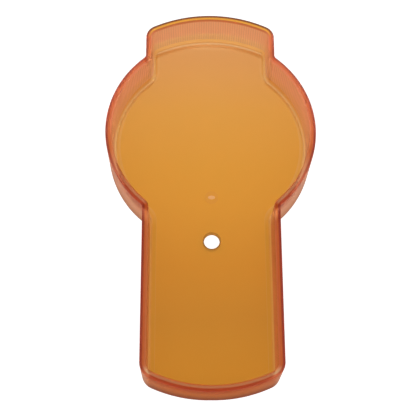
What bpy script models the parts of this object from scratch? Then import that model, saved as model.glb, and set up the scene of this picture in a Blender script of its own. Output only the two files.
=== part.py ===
"""Open moulded tray with a keyhole outline, in metres.

A round well with a short tab on one side and a long handle on the other, one wall all the way round, a thin floor
held above the table by the foot of that wall, and one hanging hole through the floor of the handle.
+Z is up, +Y points from the handle to the tab, and the origin is under the middle of the bounding box.
"""

import math

import bmesh
import bpy

MM = 0.001

# Rim outline, seen from above, measured from the centre of the round well
CIRCLE_RADIUS = 40.0 * MM
TAB_HALF_WIDTH = 25.1 * MM
TAB_END = 49.6 * MM
TAB_END_RADIUS = 51.2 * MM
TAB_CORNER_RADIUS = 5.2 * MM
HANDLE_HALF_WIDTH = 25.5 * MM
HANDLE_END = 99.8 * MM
HANDLE_END_RADIUS = 52.0 * MM
HANDLE_CORNER_RADIUS = 6.0 * MM
NECK_RADIUS = 1.9 * MM

# Section through the wall and floor
HEIGHT = 21.0 * MM
WELL_DEPTH = 14.5 * MM
FLOOR_THICKNESS = 2.5 * MM
RIM_THICKNESS = 2.3 * MM
OUTER_DRAFT = 0.6 * MM
INNER_DRAFT = 0.3 * MM
FOOT_THICKNESS = 2.1 * MM
FOOT_DRAFT = 0.2 * MM
EDGE_ROUNDING = 0.5 * MM

# Features of the floor, measured from the centre of the round well
HOLE_RADIUS = 3.0 * MM
HOLE_CHAMFER = 0.5 * MM
HOLE_Y = -39.8 * MM
MARK_RADIUS = 2.0 * MM
MARK_HEIGHT = 0.3 * MM
MARK_Y = -22.4 * MM

# How far a cutter stands out of the floor it cuts
CUTTER_OVERRUN = 3.0 * MM

# Segments in each arc of the outline
END_STEPS = 6
CORNER_STEPS = 5
NECK_STEPS = 3
CIRCLE_STEPS = 22
ROUND_STEPS = 48

# The well's centre is this far from the middle of the bounding box
WELL_CENTRE_Y = (HANDLE_END - TAB_END) / 2
FLOOR_TOP = HEIGHT - WELL_DEPTH
FLOOR_UNDERSIDE = FLOOR_TOP - FLOOR_THICKNESS


def clear_scene():
    for item in list(bpy.data.objects):
        bpy.data.objects.remove(item)


def new_collection(name, helper=False):
    collection = bpy.data.collections.new(name)
    collection.hide_render = helper
    bpy.context.scene.collection.children.link(collection)
    return collection


def add_object(name, mesh, collection):
    item = bpy.data.objects.new(name, mesh)
    collection.objects.link(item)
    return item


def arc(centre, radius, start, end, steps):
    """Points from the angle start to the angle end, both included."""
    points = []
    for step in range(steps + 1):
        angle = start + (end - start) * step / steps
        points.append((centre[0] + radius * math.cos(angle), centre[1] + radius * math.sin(angle)))
    return points


def limb(half_width, end, end_radius, corner_radius, inset):
    """The right side of the tab, or of the handle turned round, and the angle at which it leaves the circle.

    It runs from the middle of the curved end, round the corner and down the straight side, to the neck.
    """
    side = half_width - inset
    tip_radius = end_radius - inset
    corner = corner_radius - inset
    tip_centre = end - end_radius
    corner_rise = math.sqrt((tip_radius - corner) ** 2 - (side - corner) ** 2)
    turn = math.atan2(corner_rise, side - corner)
    neck = NECK_RADIUS + inset
    reach = CIRCLE_RADIUS - inset + neck
    neck_rise = math.sqrt(reach**2 - (side + neck) ** 2)
    leave = math.atan2(neck_rise, side + neck)
    points = arc((0, tip_centre), tip_radius, math.pi / 2, turn, END_STEPS)
    points += arc((side - corner, tip_centre + corner_rise), corner, turn, 0, CORNER_STEPS)[1:]
    points += arc((side + neck, neck_rise), neck, math.pi, math.pi + leave, NECK_STEPS)
    return points, leave


def outline(inset):
    """The keyhole outline, moved in by the inset, clockwise from the middle of the tab's end."""
    tab, tab_angle = limb(TAB_HALF_WIDTH, TAB_END, TAB_END_RADIUS, TAB_CORNER_RADIUS, inset)
    handle, handle_angle = limb(
        HANDLE_HALF_WIDTH, HANDLE_END, HANDLE_END_RADIUS, HANDLE_CORNER_RADIUS, inset
    )
    right = tab + arc((0, 0), CIRCLE_RADIUS - inset, tab_angle, -handle_angle, CIRCLE_STEPS)[1:-1]
    right += [(x, -y) for x, y in reversed(handle)]
    left = [(-x, y) for x, y in reversed(right[1:-1])]
    return right + left


def wall_section():
    """Insets and heights from the underside of the floor, round the wall, to the top of the floor."""
    foot_inside = OUTER_DRAFT + FOOT_THICKNESS
    return [
        (foot_inside + FOOT_DRAFT, FLOOR_UNDERSIDE),
        (foot_inside, 0),
        (OUTER_DRAFT, 0),
        (0, HEIGHT),
        (RIM_THICKNESS, HEIGHT),
        (RIM_THICKNESS + INNER_DRAFT, FLOOR_TOP),
    ]


def tray_mesh():
    """The section swept round the outline, closed by the two faces of the floor."""
    shape = bmesh.new()
    rings = []
    for inset, height in wall_section():
        rings.append([shape.verts.new((x, y + WELL_CENTRE_Y, height)) for x, y in outline(inset)])
    count = len(rings[0])
    for lower, upper in zip(rings[:-1], rings[1:]):
        for index in range(count):
            after = (index + 1) % count
            shape.faces.new((lower[index], lower[after], upper[after], upper[index]))
    shape.faces.new(rings[0])
    shape.faces.new(rings[-1])
    bmesh.ops.recalc_face_normals(shape, faces=shape.faces)
    mesh = bpy.data.meshes.new("template_body")
    shape.to_mesh(mesh)
    shape.free()
    return mesh


def add_round(name, y, low, high, low_radius, high_radius, collection):
    """A cylinder or a cone on the centreline, between two heights."""
    mesh = bpy.data.meshes.new(name)
    shape = bmesh.new()
    bmesh.ops.create_cone(
        shape,
        cap_ends=True,
        segments=ROUND_STEPS,
        radius1=low_radius,
        radius2=high_radius,
        depth=high - low,
    )
    shape.to_mesh(mesh)
    shape.free()
    item = add_object(name, mesh, collection)
    item.location = (0, y + WELL_CENTRE_Y, (low + high) / 2)
    item.display_type = "WIRE"
    item.hide_render = True
    return item


def add_boolean(item, other, operation):
    modifier = item.modifiers.new(other.name, "BOOLEAN")
    modifier.operation = operation
    modifier.solver = "EXACT"
    modifier.object = other


def amber_plastic():
    material = bpy.data.materials.new("amber_plastic")
    material.use_nodes = True
    shader = material.node_tree.nodes["Principled BSDF"]
    shader.inputs["Base Color"].default_value = (0.78, 0.33, 0.05, 1)
    shader.inputs["Roughness"].default_value = 0.25
    shader.inputs["Transmission Weight"].default_value = 0.6
    return material


def round_edges(item):
    modifier = item.modifiers.new("rounded_edges", "BEVEL")
    modifier.width = EDGE_ROUNDING
    modifier.segments = 3
    modifier.limit_method = "ANGLE"
    modifier.angle_limit = math.radians(50)


def hole_cutters(helpers):
    """A drill for the hole, and a cone for the chamfer at each of its mouths."""
    below = FLOOR_UNDERSIDE - CUTTER_OVERRUN
    above = FLOOR_TOP + CUTTER_OVERRUN
    mouth = HOLE_RADIUS + HOLE_CHAMFER + CUTTER_OVERRUN
    return [
        add_round("hole_drill", HOLE_Y, below, above, HOLE_RADIUS, HOLE_RADIUS, helpers),
        add_round(
            "top_chamfer", HOLE_Y, FLOOR_TOP - HOLE_CHAMFER, above, HOLE_RADIUS, mouth, helpers
        ),
        add_round(
            "low_chamfer", HOLE_Y, below, FLOOR_UNDERSIDE + HOLE_CHAMFER, mouth, HOLE_RADIUS, helpers
        ),
    ]


def gate_mark(helpers):
    """The low round pad left where the plastic entered the mould."""
    root = FLOOR_TOP - FLOOR_THICKNESS / 2
    return add_round(
        "gate_mark", MARK_Y, root, FLOOR_TOP + MARK_HEIGHT, MARK_RADIUS, MARK_RADIUS, helpers
    )


def build_tray():
    model = new_collection("keyhole_tray")
    helpers = new_collection("helpers", helper=True)
    tray = add_object("template_body", tray_mesh(), model)
    tray.data.materials.append(amber_plastic())
    round_edges(tray)
    for cutter in hole_cutters(helpers):
        add_boolean(tray, cutter, "DIFFERENCE")
    add_boolean(tray, gate_mark(helpers), "UNION")
    tray.data.shade_smooth()
    tray.data.set_sharp_from_angle(angle=math.radians(35))


clear_scene()
build_tray()
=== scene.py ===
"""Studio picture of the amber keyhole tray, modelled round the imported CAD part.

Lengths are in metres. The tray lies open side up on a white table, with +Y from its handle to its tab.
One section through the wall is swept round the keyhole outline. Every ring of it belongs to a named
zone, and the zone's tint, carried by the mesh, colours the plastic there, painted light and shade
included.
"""

import math

import bmesh
import bpy
from mathutils import Matrix, Vector


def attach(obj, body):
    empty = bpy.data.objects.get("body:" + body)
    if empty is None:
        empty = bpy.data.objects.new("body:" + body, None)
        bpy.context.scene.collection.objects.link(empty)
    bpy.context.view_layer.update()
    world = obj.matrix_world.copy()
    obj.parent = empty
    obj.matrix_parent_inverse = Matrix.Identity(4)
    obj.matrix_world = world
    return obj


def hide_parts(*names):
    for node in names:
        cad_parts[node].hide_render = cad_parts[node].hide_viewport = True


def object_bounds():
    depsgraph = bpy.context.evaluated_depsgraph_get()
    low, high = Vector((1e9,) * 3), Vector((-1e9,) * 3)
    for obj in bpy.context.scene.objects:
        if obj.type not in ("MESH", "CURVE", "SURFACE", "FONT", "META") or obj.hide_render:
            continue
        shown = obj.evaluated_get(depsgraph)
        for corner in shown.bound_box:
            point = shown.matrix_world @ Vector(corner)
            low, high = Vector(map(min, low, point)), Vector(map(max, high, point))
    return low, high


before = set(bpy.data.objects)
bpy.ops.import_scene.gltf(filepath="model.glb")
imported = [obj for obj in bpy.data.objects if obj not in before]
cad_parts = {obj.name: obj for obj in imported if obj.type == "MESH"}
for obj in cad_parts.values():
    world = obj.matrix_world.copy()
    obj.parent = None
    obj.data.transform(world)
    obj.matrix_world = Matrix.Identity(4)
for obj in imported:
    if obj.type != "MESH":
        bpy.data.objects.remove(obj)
CAD_LOW, CAD_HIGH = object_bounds()

MM = 0.001

# The rim's outline, the same as the CAD part's, measured from the centre of the round well
TAB_HALF_WIDTH = 25.1 * MM
TAB_END_RADIUS = 51.2 * MM
TAB_CORNER_RADIUS = 5.2 * MM
HANDLE_HALF_WIDTH = 25.5 * MM
HANDLE_END_RADIUS = 52.0 * MM
HANDLE_CORNER_RADIUS = 6.0 * MM
NECK_RADIUS = 1.9 * MM
WELL_CENTRE_Y = 25.1 * MM
CIRCLE_RADIUS = CAD_HIGH.x
TAB_END = CAD_HIGH.y - WELL_CENTRE_Y
HANDLE_END = WELL_CENTRE_Y - CAD_LOW.y

# The section through the wall and the floor
HEIGHT = CAD_HIGH.z
FLOOR_TOP = 6.5 * MM
FLOOR_THICKNESS = 2.5 * MM
FLOOR_UNDERSIDE = FLOOR_TOP - FLOOR_THICKNESS
RIM_THICKNESS = 2.3 * MM
OUTER_DRAFT = 0.6 * MM
INNER_DRAFT = 0.3 * MM
FOOT_THICKNESS = 2.1 * MM
FOOT_DRAFT = 0.2 * MM
RIM_ROUNDING = 0.4 * MM
FILLET_RADIUS = 0.6 * MM
FOOT_ROUNDING = 0.4 * MM
ROUNDING_STEPS = 4
SHARP_ANGLE = math.radians(30)

# How far the foot stands out of its even draft round the well and at the corners of the handle's end.
# Each comes in over a stretch along Y, measured for the end from the tray's middle towards the end.
WELL_SPREAD = 0.5 * MM
WELL_SPREAD_BLEND = (-20 * MM, 0)
END_SPREAD = 0.5 * MM
END_SPREAD_BLEND = (55 * MM, 66 * MM)

# Zones of the outer wall above the foot, by their share of its height
WALL_ZONES = (
    (0.1, "low wall"),
    (0.29, "low wall"),
    (0.33, "wall line"),
    (0.37, "mid wall"),
    (0.95, "outer wall"),
)
OUTER_ZONES = ("foot", "low wall", "wall line", "mid wall", "outer wall")

# Width of the dark line of painted shade round the rim, and the insets of the zones on the floor beside
# the wall.
# The last ring lies within the tab's corner radius, or it would cross itself.
RIM_LINE = 0.4 * MM
CREASE_INSET = 3.6 * MM
FLOOR_EDGE_START = 4.3 * MM
FLOOR_EDGE_STOP = 4.7 * MM
FLOOR_START = 5.0 * MM

# Flutes on the inside of the wall, which begin below the rim and stop above the floor
FLUTE_PITCH = 1.0 * MM
FLUTE_DEPTH = 0.08 * MM
FLUTE_TOP_GAP = 1.2 * MM
FLUTE_FOOT_GAP = 0.72 * MM
FLUTE_DRAFT_SHARE = 0.1
POINTS_PER_FLUTE = 6

# Hanging hole and gate mark, measured from the centre of the round well
HOLE_RADIUS = 3.0 * MM
HOLE_CHAMFER = 0.5 * MM
HOLE_Y = -40.0 * MM
MARK_RADIUS = 2.6 * MM
MARK_HEIGHT = 0.12 * MM
NUB_RADIUS = 2.0 * MM
NUB_TOP_RADIUS = 1.3 * MM
NUB_FLATTENING = 0.55
NUB_HEIGHT = 0.3 * MM
MARK_Y = -22.4 * MM
FLOOR_FEATURES_X = 0.4 * MM
ROUND_STEPS = 96
CUTTER_OVERRUN = 3.0 * MM

# Tints of the plastic's surface, zone by zone, as linear colours, with painted light and shade in some
# zones
TINTS_AND_PAINTED_LIGHT = {
    "underside": (1.0, 0.6, 0.26),
    "floor": (1.0, 0.6, 0.26),
    "floor edge": (0.86, 0.46, 0.14),
    "crease": (0.84, 0.42, 0.1),
    "fillet": (0.9, 0.42, 0.1),
    "flutes": (0.8, 0.34, 0.13),
    "rim inner edge": (0.76, 0.18, 0.055),
    "rim top": (0.8, 0.145, 0.035),
    # Painted shade: the dark line along the rim's rounded outer edge
    "rim outer edge": (0.42, 0.05, 0.03),
    # Painted reflection: the outer wall pale pink high up, over deeper amber lower down
    "outer wall": (0.7, 0.29, 0.19),
    "mid wall": (0.56, 0.21, 0.13),
    "wall line": (0.6, 0.25, 0.12),
    "low wall": (0.52, 0.19, 0.1),
    "foot": (0.45, 0.2, 0.1),
    "foot inside": (0.85, 0.62, 0.34),
    "hole": (0.42, 0.2, 0.04),
    "gate mark": (0.8, 0.38, 0.07),
    "gate nub": (1.0, 0.62, 0.42),
}

# The same, where a zone differs towards the tab
BACK_TINTS = {
    "floor edge": (0.9, 0.5, 0.17),
    "crease": (0.78, 0.34, 0.06),
    "fillet": (0.75, 0.28, 0.045),
    "rim inner edge": (0.84, 0.28, 0.13),
    "rim top": (0.8, 0.17, 0.06),
    "rim outer edge": (0.5, 0.09, 0.055),
    "outer wall": (0.93, 0.4, 0.22),
    "mid wall": (0.93, 0.4, 0.22),
    "wall line": (0.92, 0.45, 0.18),
    "low wall": (0.76, 0.37, 0.13),
    "foot": (0.72, 0.37, 0.13),
    "foot inside": (1.0, 0.93, 0.8),
}

# On the handle
HANDLE_TINTS = {
    "flutes": (0.8, 0.23, 0.04),
    "floor edge": (0.72, 0.34, 0.045),
    "crease": (0.74, 0.33, 0.045),
    "fillet": (0.82, 0.33, 0.05),
    "foot inside": (0.74, 0.47, 0.18),
}

# Round the end of the tab. A painted highlight runs along the middle of the rim's top and on the fillet,
# between dark lines of painted shade on the rim's rounded edges.
TAB_END_TINTS_AND_PAINTED_LIGHT = {
    "floor edge": (1.0, 0.67, 0.32),
    "crease": (0.78, 0.32, 0.055),
    "fillet": (1.0, 0.52, 0.14),
    "flutes": (0.88, 0.46, 0.19),
    "wall line": (1.0, 0.62, 0.26),
    "low wall": (0.8, 0.47, 0.18),
    "foot": (0.83, 0.5, 0.22),
    "rim top": (1.0, 0.58, 0.04),
    "rim outer edge": (0.2, 0.06, 0.02),
    "rim inner edge": (0.5, 0.12, 0.03),
}

# Across the end of the handle. Its outer wall is painted dark amber down to the foot, a painted shade.
HANDLE_END_TINTS_AND_SHADE = {
    "flutes": (1.0, 0.42, 0.12),
    "fillet": (0.95, 0.42, 0.08),
    "outer wall": (0.62, 0.11, 0.01),
    "mid wall": (0.36, 0.055, 0.004),
    "wall line": (0.32, 0.05, 0.003),
    "low wall": (0.27, 0.04, 0.003),
    "foot": (0.3, 0.045, 0.003),
}

# Where the wall faces the way the handle points, the rim is painted lighter along its top and both edges:
# a painted highlight
FACING_PAINTED_HIGHLIGHT = {
    "rim top": (1.0, 0.6, 0.34),
    "rim inner edge": (1.0, 0.4, 0.14),
    "rim outer edge": (0.75, 0.12, 0.06),
}

# Distances from the tray's middle, towards the tab or the handle, over which those tints come in
BACK_BLEND = (15 * MM, 35 * MM)
HANDLE_BLEND = (0, 10 * MM)
TAB_END_BLEND = (64 * MM, 69 * MM)
HANDLE_END_BLEND = (35 * MM, 60 * MM)

# The same for how squarely the wall faces the way the handle points: 0 at its sides and 1 at its end
FACING_BLEND = (0.2, 0.8)
END_FACING_BLEND = (0.6, 1.0)

# Painted shade in the flutes: how much darker the bottom of a flute is than the ridge beside it
FLUTE_SHADE = 0.2

# Painted shade on the floor, darker towards the handle and lighter at the tab's end: a place along Y, and
# what multiplies the tint there
FLOOR_PAINTED_SHADE = (
    (-65 * MM, (0.74, 0.57, 0.16)),
    (-45 * MM, (0.71, 0.54, 0.174)),
    (-25 * MM, (0.765, 0.578, 0.18)),
    (0, (0.834, 0.678, 0.23)),
    (15 * MM, (0.843, 0.708, 0.26)),
    (40 * MM, (0.86, 0.755, 0.372)),
    (68 * MM, (0.87, 0.78, 0.64)),
    (69.3 * MM, (1.0, 1.0, 1.0)),
)

# Finish of the plastic
PLASTIC_TRANSMISSION = 0.7
PLASTIC_IOR = 1.05
PLASTIC_ROUGHNESS = 0.5
GRAIN_SCALE = 900
GRAIN_STRENGTH = 0.05
GRAIN_DEPTH = 0.1 * MM

# Table and light
TABLE_SIZE = 4
TABLE_DROP = 0.2 * MM
TABLE_GREY = 0.3
TABLE_GLOW = 1.0
WORLD_STRENGTH = 0.45
SOFTBOXES = (("left_softbox", Vector((-0.7, 0, 0.25))), ("right_softbox", Vector((0.7, 0, 0.25))))
SOFTBOX_SIZE = 0.4
SOFTBOX_POWER = 0.5
LIGHT_BOUNCES = 32

# Camera
CAMERA_ELEVATION = math.radians(69.1)
CAMERA_AZIMUTH = math.radians(-3.3)
CAMERA_ROLL = math.radians(3.15)
CAMERA_DISTANCE = 0.3938
CAMERA_TARGET = Vector((-0.00006, 0.0001, 0))
CAMERA_LENS = 86.57
CAMERA_CLIP_START = 0.01
SENSOR_WIDTH = 36


def arc(centre, radius, start, end, steps, bulge):
    """Points and inward normals along an arc; bulge is 1 where the outline is convex and -1 in a neck."""
    found = []
    for step in range(steps + 1):
        angle = start + (end - start) * step / steps
        outward = Vector((math.cos(angle), math.sin(angle)))
        found.append((Vector(centre) + outward * radius, -outward * bulge))
    return found


def steps_for(length):
    """Segments along a stretch, so that every flute gets its share of points."""
    return max(2, round(length / FLUTE_PITCH) * POINTS_PER_FLUTE)


def limb(half_width, end, end_radius, corner_radius):
    """Right side of the tab, or of the handle turned round, and the angle where it leaves the circle."""
    tip_centre = end - end_radius
    corner_x = half_width - corner_radius
    corner_rise = math.sqrt((end_radius - corner_radius) ** 2 - corner_x**2)
    corner_y = tip_centre + corner_rise
    turn = math.atan2(corner_rise, corner_x)
    neck_x = half_width + NECK_RADIUS
    neck_rise = math.sqrt((CIRCLE_RADIUS + NECK_RADIUS) ** 2 - neck_x**2)
    leave = math.atan2(neck_rise, neck_x)
    tip_steps = steps_for(end_radius * (math.pi / 2 - turn))
    found = arc((0, tip_centre), end_radius, math.pi / 2, turn, tip_steps, 1)
    found += arc((corner_x, corner_y), corner_radius, turn, 0, steps_for(corner_radius * turn), 1)[1:]
    side = steps_for(corner_y - neck_rise)
    for step in range(1, side):
        y = corner_y + (neck_rise - corner_y) * step / side
        found.append((Vector((half_width, y)), Vector((-1, 0))))
    neck_steps = steps_for(NECK_RADIUS * leave)
    found += arc((neck_x, neck_rise), NECK_RADIUS, math.pi, math.pi + leave, neck_steps, -1)
    return found, leave


def mirrored(found, across):
    """The same points and normals in reverse order, with the signs of across."""
    return [(point * across, normal * across) for point, normal in reversed(found)]


def outline():
    """Points and inward normals of the rim's outline, clockwise from the middle of the tab's end."""
    tab, tab_angle = limb(TAB_HALF_WIDTH, TAB_END, TAB_END_RADIUS, TAB_CORNER_RADIUS)
    handle, handle_angle = limb(HANDLE_HALF_WIDTH, HANDLE_END, HANDLE_END_RADIUS, HANDLE_CORNER_RADIUS)
    circle_steps = steps_for(CIRCLE_RADIUS * (tab_angle + handle_angle))
    circle = arc((0, 0), CIRCLE_RADIUS, tab_angle, -handle_angle, circle_steps, 1)
    right = tab + circle[1:-1] + mirrored(handle, Vector((1, -1)))
    return right + mirrored(right[1:-1], Vector((-1, 1)))


def rounding(inset, height, radius, start, end, zone):
    """Section points round an edge whose centre of curvature is at this inset and height."""
    found = []
    for step in range(ROUNDING_STEPS + 1):
        angle = math.radians(start + (end - start) * step / ROUNDING_STEPS)
        found.append((inset + radius * math.cos(angle), height + radius * math.sin(angle), zone))
    return found


def wall_section():
    """Inset, height and zone, from the floor's underside, round the wall, to the top of the floor."""
    foot_inside = OUTER_DRAFT + FOOT_THICKNESS
    under = foot_inside + FOOT_DRAFT
    inside = RIM_THICKNESS + INNER_DRAFT
    rim = RIM_ROUNDING
    foot = FOOT_ROUNDING
    fillet = FILLET_RADIUS
    section = rounding(under + foot, FLOOR_UNDERSIDE - foot, foot, 90, 180, "foot inside")
    section += rounding(foot_inside - foot, foot, foot, 0, -90, "foot inside")
    section += rounding(OUTER_DRAFT + foot, foot, foot, -90, -180, "foot")
    for share, zone in WALL_ZONES:
        height = foot + (HEIGHT - rim - foot) * share
        section.append((OUTER_DRAFT * (1 - height / HEIGHT), height, zone))
    section += rounding(rim, HEIGHT - rim, rim, 180, 90, "rim outer edge")
    section.append((rim + RIM_LINE, HEIGHT, "rim outer edge"))
    section.append((rim + 2 * RIM_LINE, HEIGHT, "rim top"))
    section.append((RIM_THICKNESS - rim - RIM_LINE / 2, HEIGHT, "rim top"))
    section += rounding(RIM_THICKNESS - rim, HEIGHT - rim, rim, 90, 0, "rim inner edge")
    flute_draft = FLUTE_DRAFT_SHARE * INNER_DRAFT
    section.append((RIM_THICKNESS + flute_draft, HEIGHT - FLUTE_TOP_GAP, "flutes"))
    section.append((inside - flute_draft, FLOOR_TOP + FLUTE_FOOT_GAP, "flutes"))
    section += rounding(inside + fillet, FLOOR_TOP + fillet, fillet, 180, 270, "fillet")
    section.append((CREASE_INSET, FLOOR_TOP, "crease"))
    section.append((FLOOR_EDGE_START, FLOOR_TOP, "floor edge"))
    section.append((FLOOR_EDGE_STOP, FLOOR_TOP, "floor edge"))
    section.append((FLOOR_START, FLOOR_TOP, "floor"))
    return section


def eased(value, start, stop):
    """0 before start and 1 after stop, with a smooth rise between them."""
    share = min(max((value - start) / (stop - start), 0), 1)
    return share * share * (3 - 2 * share)


def tint_at(zone, y=0, facing=0):
    """The colour of a zone at a place along the tray, painted light and shade included, then 1 if the
    floor's painted shade applies to it, or 0.
    """
    colour = Vector(TINTS_AND_PAINTED_LIGHT[zone])
    places = (
        (BACK_TINTS, eased(y, *BACK_BLEND)),
        (HANDLE_TINTS, eased(-y, *HANDLE_BLEND)),
        (FACING_PAINTED_HIGHLIGHT, eased(facing, *FACING_BLEND)),
        (TAB_END_TINTS_AND_PAINTED_LIGHT, eased(y, *TAB_END_BLEND)),
        (HANDLE_END_TINTS_AND_SHADE, eased(-y, *HANDLE_END_BLEND) * eased(facing, *END_FACING_BLEND)),
    )
    for tints, share in places:
        if zone in tints:
            colour = colour.lerp(Vector(tints[zone]), share)
    return (*colour, 1 if zone in ("floor", "underside") else 0)


def flute_wave(index):
    """0 on the ridge between two flutes and 1 at the bottom of a flute."""
    return 0.5 - 0.5 * math.cos(2 * math.pi * index / POINTS_PER_FLUTE)


def foot_spread(point):
    """How far the foot stands out from its even draft, below this point of the rim's outline."""
    y = point.y + WELL_CENTRE_Y
    round_well = WELL_SPREAD * eased(y, *WELL_SPREAD_BLEND)
    end_corner = END_SPREAD * abs(point.x) / HANDLE_HALF_WIDTH
    return round_well + end_corner * eased(-y, *END_SPREAD_BLEND)


def add_object(name, data):
    item = bpy.data.objects.new(name, data)
    bpy.context.scene.collection.objects.link(item)
    return item


def tray_mesh():
    """The section swept round the outline, closed by the two faces of the floor, and tinted."""
    shape = bmesh.new()
    course = outline()
    rings = []
    colours = {}
    for inset, height, zone in wall_section():
        ring = []
        for index, (point, normal) in enumerate(course):
            wave = flute_wave(index) if zone == "flutes" else 0
            outward = FLUTE_DEPTH * wave
            if zone in OUTER_ZONES:
                outward = foot_spread(point) * (1 - height / HEIGHT)
            place = point + normal * (inset - outward)
            vertex = shape.verts.new((place.x, place.y + WELL_CENTRE_Y, height))
            red, green, blue, floor = tint_at(zone, vertex.co.y, normal.y)
            # Painted shade, darker towards the bottom of each flute
            shade = 1 - FLUTE_SHADE * wave
            colours[vertex] = (red * shade, green * shade, blue * shade, floor)
            ring.append(vertex)
        rings.append(ring)
    count = len(course)
    for lower, upper in zip(rings[:-1], rings[1:]):
        for index in range(count):
            after = (index + 1) % count
            shape.faces.new((lower[index], lower[after], upper[after], upper[index]))
    tint = shape.loops.layers.float_color.new("tint")
    for face in shape.faces:
        for loop in face.loops:
            loop[tint] = colours[loop.vert]
    for ring, zone in ((rings[0], "underside"), (rings[-1], "floor")):
        for loop in shape.faces.new(ring).loops:
            loop[tint] = tint_at(zone)
    bmesh.ops.recalc_face_normals(shape, faces=shape.faces)
    mesh = bpy.data.meshes.new("tray_shell")
    shape.to_mesh(mesh)
    shape.free()
    return mesh


def cutter(name, y, low, high, low_radius, high_radius, zone="hole"):
    """A cylinder or a cone over a place on the floor, between two heights, with the tint of its zone."""
    mesh = bpy.data.meshes.new(name)
    shape = bmesh.new()
    bmesh.ops.create_cone(
        shape,
        cap_ends=True,
        segments=ROUND_STEPS,
        radius1=low_radius,
        radius2=high_radius,
        depth=high - low,
    )
    tint = shape.loops.layers.float_color.new("tint")
    for face in shape.faces:
        for loop in face.loops:
            loop[tint] = tint_at(zone)
    shape.to_mesh(mesh)
    shape.free()
    item = add_object(name, mesh)
    item.location = (FLOOR_FEATURES_X, y + WELL_CENTRE_Y, (low + high) / 2)
    return item


def cut_floor(tray):
    """Drill and chamfer the hanging hole, and add the gate mark with its oval nub."""
    below = FLOOR_UNDERSIDE - CUTTER_OVERRUN
    above = FLOOR_TOP + CUTTER_OVERRUN
    mouth = HOLE_RADIUS + HOLE_CHAMFER + CUTTER_OVERRUN
    root = FLOOR_TOP - FLOOR_THICKNESS / 2
    tools = [
        cutter("hole_drill", HOLE_Y, below, above, HOLE_RADIUS, HOLE_RADIUS),
        cutter("top_chamfer", HOLE_Y, FLOOR_TOP - HOLE_CHAMFER, above, HOLE_RADIUS, mouth),
        cutter("low_chamfer", HOLE_Y, below, FLOOR_UNDERSIDE + HOLE_CHAMFER, mouth, HOLE_RADIUS),
        cutter("gate_mark", MARK_Y, root, FLOOR_TOP + MARK_HEIGHT, MARK_RADIUS, MARK_RADIUS, "gate mark"),
        cutter("gate_nub", MARK_Y, root, FLOOR_TOP + NUB_HEIGHT, NUB_RADIUS, NUB_TOP_RADIUS, "gate nub"),
    ]
    tools[-1].scale.y = NUB_FLATTENING
    for tool in tools:
        modifier = tray.modifiers.new(tool.name, "BOOLEAN")
        modifier.operation = "UNION" if tool.name.startswith("gate") else "DIFFERENCE"
        modifier.solver = "EXACT"
        modifier.object = tool
    bpy.context.view_layer.update()
    graph = bpy.context.evaluated_depsgraph_get()
    mesh = bpy.data.meshes.new_from_object(tray.evaluated_get(graph))
    tray.modifiers.clear()
    tray.data = mesh
    for tool in tools:
        bpy.data.objects.remove(tool)


def amber_plastic():
    """Rough translucent plastic in the mesh's tint, which holds painted light and shade, with the floor's
    painted shade and a fine grain.
    """
    material = bpy.data.materials.new("amber_plastic")
    material.use_nodes = True
    nodes = material.node_tree.nodes
    links = material.node_tree.links
    shader = nodes["Principled BSDF"]
    shader.inputs["Roughness"].default_value = PLASTIC_ROUGHNESS
    shader.inputs["IOR"].default_value = PLASTIC_IOR
    shader.inputs["Transmission Weight"].default_value = PLASTIC_TRANSMISSION
    tint = nodes.new("ShaderNodeAttribute")
    tint.attribute_name = "tint"
    place = nodes.new("ShaderNodeTexCoord")
    split = nodes.new("ShaderNodeSeparateXYZ")
    links.new(place.outputs["Object"], split.inputs["Vector"])
    along = nodes.new("ShaderNodeMapRange")
    along.inputs["From Min"].default_value = CAD_LOW.y
    along.inputs["From Max"].default_value = CAD_HIGH.y
    links.new(split.outputs["Y"], along.inputs["Value"])
    # Painted shade on the floor, by place along Y
    painted_shade_ramp = nodes.new("ShaderNodeValToRGB")
    stops = painted_shade_ramp.color_ramp.elements
    stops.remove(stops[1])
    for number, (y, shade) in enumerate(FLOOR_PAINTED_SHADE):
        stop = stops[0] if number == 0 else stops.new(1)
        stop.position = (y - CAD_LOW.y) / (CAD_HIGH.y - CAD_LOW.y)
        stop.color = (*shade, 1)
    links.new(along.outputs["Result"], painted_shade_ramp.inputs["Fac"])
    shaded = nodes.new("ShaderNodeMix")
    shaded.data_type = "RGBA"
    shaded.blend_type = "MULTIPLY"
    links.new(tint.outputs["Alpha"], shaded.inputs["Factor"])
    links.new(tint.outputs["Color"], shaded.inputs["A"])
    links.new(painted_shade_ramp.outputs["Color"], shaded.inputs["B"])
    links.new(shaded.outputs["Result"], shader.inputs["Base Color"])
    grain = nodes.new("ShaderNodeTexNoise")
    grain.inputs["Scale"].default_value = GRAIN_SCALE
    links.new(place.outputs["Object"], grain.inputs["Vector"])
    bump = nodes.new("ShaderNodeBump")
    bump.inputs["Strength"].default_value = GRAIN_STRENGTH
    bump.inputs["Distance"].default_value = GRAIN_DEPTH
    links.new(grain.outputs["Fac"], bump.inputs["Height"])
    links.new(bump.outputs["Normal"], shader.inputs["Normal"])
    return material


def make_tray():
    tray = add_object("tray_shell", tray_mesh())
    cut_floor(tray)
    tray.data.materials.append(amber_plastic())
    tray.data.shade_smooth()
    tray.data.set_sharp_from_angle(angle=SHARP_ANGLE)
    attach(tray, "root")
    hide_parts("template_body")


def make_floor():
    bpy.ops.mesh.primitive_plane_add(size=TABLE_SIZE, location=(0, 0, -TABLE_DROP))
    floor = bpy.context.object
    floor.name = "white_table"
    material = bpy.data.materials.new("white_table")
    material.use_nodes = True
    shader = material.node_tree.nodes["Principled BSDF"]
    shader.inputs["Base Color"].default_value = (TABLE_GREY, TABLE_GREY, TABLE_GREY, 1)
    shader.inputs["Roughness"].default_value = 1.0
    shader.inputs["Specular IOR Level"].default_value = 0.0
    shader.inputs["Emission Color"].default_value = (1, 1, 1, 1)
    shader.inputs["Emission Strength"].default_value = TABLE_GLOW
    floor.data.materials.append(material)


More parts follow.
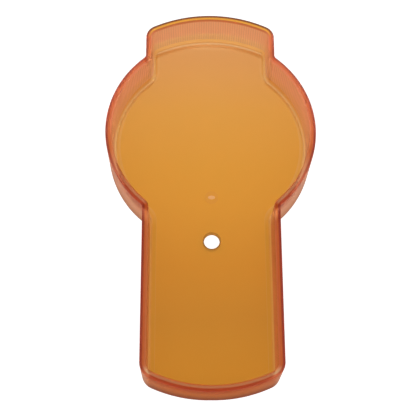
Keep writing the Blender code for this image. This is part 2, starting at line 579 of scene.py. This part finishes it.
def add_softbox(name, place):
    """A square light at this place, aimed at the middle of the table."""
    data = bpy.data.lights.new(name, "AREA")
    data.shape = "SQUARE"
    data.size = SOFTBOX_SIZE
    data.energy = SOFTBOX_POWER
    light = add_object(name, data)
    light.location = place
    light.rotation_euler = (-place).to_track_quat("-Z", "Y").to_euler()


def make_light():
    world = bpy.data.worlds.new("studio")
    bpy.context.scene.world = world
    world.use_nodes = True
    background = world.node_tree.nodes["Background"]
    background.inputs["Color"].default_value = (1, 1, 1, 1)
    background.inputs["Strength"].default_value = WORLD_STRENGTH
    for name, place in SOFTBOXES:
        add_softbox(name, place)


def make_camera():
    """Look down at the tray from over the end of its handle, with a small roll."""
    back = Vector(
        (
            math.sin(CAMERA_AZIMUTH) * math.cos(CAMERA_ELEVATION),
            -math.cos(CAMERA_AZIMUTH) * math.cos(CAMERA_ELEVATION),
            math.sin(CAMERA_ELEVATION),
        )
    )
    level = Vector((math.cos(CAMERA_AZIMUTH), math.sin(CAMERA_AZIMUTH), 0))
    rise = back.cross(level)
    right = level * math.cos(CAMERA_ROLL) + rise * math.sin(CAMERA_ROLL)
    up = rise * math.cos(CAMERA_ROLL) - level * math.sin(CAMERA_ROLL)
    data = bpy.data.cameras.new("camera")
    data.sensor_width = SENSOR_WIDTH
    data.lens = CAMERA_LENS
    data.clip_start = CAMERA_CLIP_START
    camera = add_object("camera", data)
    place = Matrix((right, up, back)).transposed().to_4x4()
    place.translation = CAMERA_TARGET + back * CAMERA_DISTANCE
    camera.matrix_world = place
    bpy.context.scene.camera = camera


def set_rendering():
    """Plain colours, and enough bounces for light to pass through every wall of the tray."""
    scene = bpy.context.scene
    scene.view_settings.view_transform = "Standard"
    scene.cycles.max_bounces = LIGHT_BOUNCES
    scene.cycles.glossy_bounces = LIGHT_BOUNCES
    scene.cycles.transmission_bounces = LIGHT_BOUNCES
    scene.cycles.transparent_max_bounces = LIGHT_BOUNCES


make_tray()
make_floor()
make_light()
make_camera()
set_rendering()
